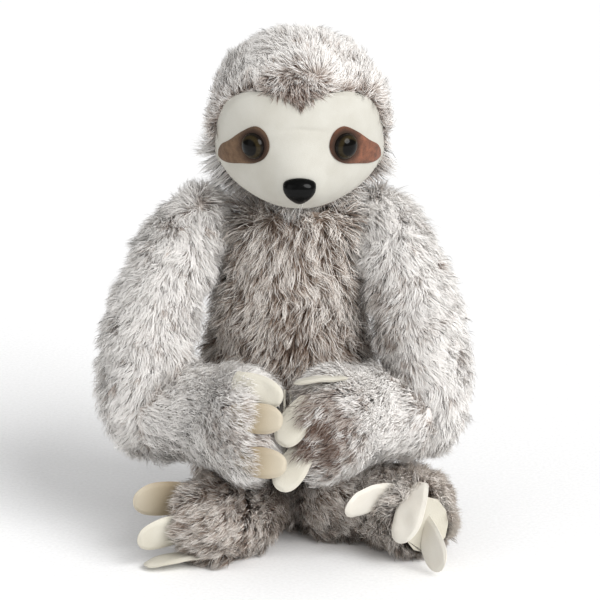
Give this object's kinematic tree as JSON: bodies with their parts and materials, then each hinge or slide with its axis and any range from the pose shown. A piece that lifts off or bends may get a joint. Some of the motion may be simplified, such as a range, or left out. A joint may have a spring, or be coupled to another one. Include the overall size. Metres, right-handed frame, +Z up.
{
  "type": "plush sloth",
  "caption": "Seated plush sloth with long frosted fur, long arms that hug, felt claws, a smooth cream face and glossy safety eyes and nose.",
  "frame": {"origin": "middle of the flat seat of the torso, on the floor", "axes": "+X is to the right of someone facing the toy, -Y is the way the toy looks, +Z is up"},
  "size_m": [0.2411, 0.1824, 0.331],
  "materials": {
    "body_fur": "long pile, dark undercoat and pale frosted tips",
    "arm_fur": "long pile, mostly pale frosted tips",
    "face_plush": "short cream pile",
    "patch_plush": "short reddish brown pile",
    "eye_gloss": "gloss, dark pupil in a brown iris",
    "nose_gloss": "gloss black",
    "washer_plastic": "moulded",
    "claw_felt": "cream felt with a sewn edge",
    "closing_tape": "woven hook and loop",
    "seam_thread": "sewing thread"
  },
  "bodies": {
    "torso": {"torso": "body_fur"},
    "neck_seam": {"neck_seam": "seam_thread"},
    "head": {"head": "body_fur", "face_panel": "face_plush", "eye_patch_left": "patch_plush", "eye_patch_right": "patch_plush", "eye_left": "eye_gloss", "eye_right": "eye_gloss", "eye_left_washer": "washer_plastic", "eye_right_washer": "washer_plastic", "nose": "nose_gloss", "nose_washer": "washer_plastic", "mouth_stitch": "nose_gloss"},
    "upper_arm_left": {"upper_arm_left": "arm_fur"},
    "forearm_left": {"forearm_left": "arm_fur", "palm_pad_left": "claw_felt", "hook_tape": "closing_tape", "hand_claw_left_upper": "claw_felt", "hand_claw_left_middle": "claw_felt", "hand_claw_left_lower": "claw_felt"},
    "leg_left": {"leg_left": "body_fur", "sole_pad_left": "claw_felt", "foot_claw_left_upper": "claw_felt", "foot_claw_left_middle": "claw_felt", "foot_claw_left_lower": "claw_felt"},
    "upper_arm_right": {"upper_arm_right": "arm_fur"},
    "forearm_right": {"forearm_right": "arm_fur", "palm_pad_right": "claw_felt", "loop_tape": "closing_tape", "hand_claw_right_upper": "claw_felt", "hand_claw_right_middle": "claw_felt", "hand_claw_right_lower": "claw_felt"},
    "leg_right": {"leg_right": "body_fur", "sole_pad_right": "claw_felt", "foot_claw_right_upper": "claw_felt", "foot_claw_right_middle": "claw_felt", "foot_claw_right_lower": "claw_felt"}
  },
  "joints": [
    {"name": "neck_turn", "type": "hinge", "parent": "torso", "child": "neck_seam", "pos_m": [0.0075, -0.006, 0.231], "axis": [0, 0, 1], "range_deg": [-35, 35]},
    {"name": "neck_nod", "type": "hinge", "parent": "neck_seam", "child": "head", "pos_m": [0.0075, -0.006, 0.231], "axis": [1, 0, 0], "range_deg": [-14, 3]},
    {"name": "shoulder_left_swing", "type": "hinge", "parent": "torso", "child": "upper_arm_left", "pos_m": [-0.06, -0.004, 0.203], "axis": [0, 0, -1], "range_deg": [0, 45]},
    {"name": "shoulder_right_swing", "type": "hinge", "parent": "torso", "child": "upper_arm_right", "pos_m": [0.06, -0.004, 0.203], "axis": [0, 0, 1], "range_deg": [0, 45]},
    {"name": "elbow_left_open", "type": "hinge", "parent": "upper_arm_left", "child": "forearm_left", "pos_m": [-0.094, -0.042, 0.085], "axis": [0, 0, -1], "range_deg": [0, 60]},
    {"name": "elbow_right_open", "type": "hinge", "parent": "upper_arm_right", "child": "forearm_right", "pos_m": [0.089, -0.042, 0.085], "axis": [0, 0, 1], "range_deg": [0, 60]},
    {"name": "hip_left_turn", "type": "hinge", "parent": "torso", "child": "leg_left", "pos_m": [-0.03, -0.042, 0.026], "axis": [0, 0, -1], "range_deg": [0, 40]},
    {"name": "hip_right_turn", "type": "hinge", "parent": "torso", "child": "leg_right", "pos_m": [0.03, -0.042, 0.026], "axis": [0, 0, 1], "range_deg": [-40, 8]}
  ]
}
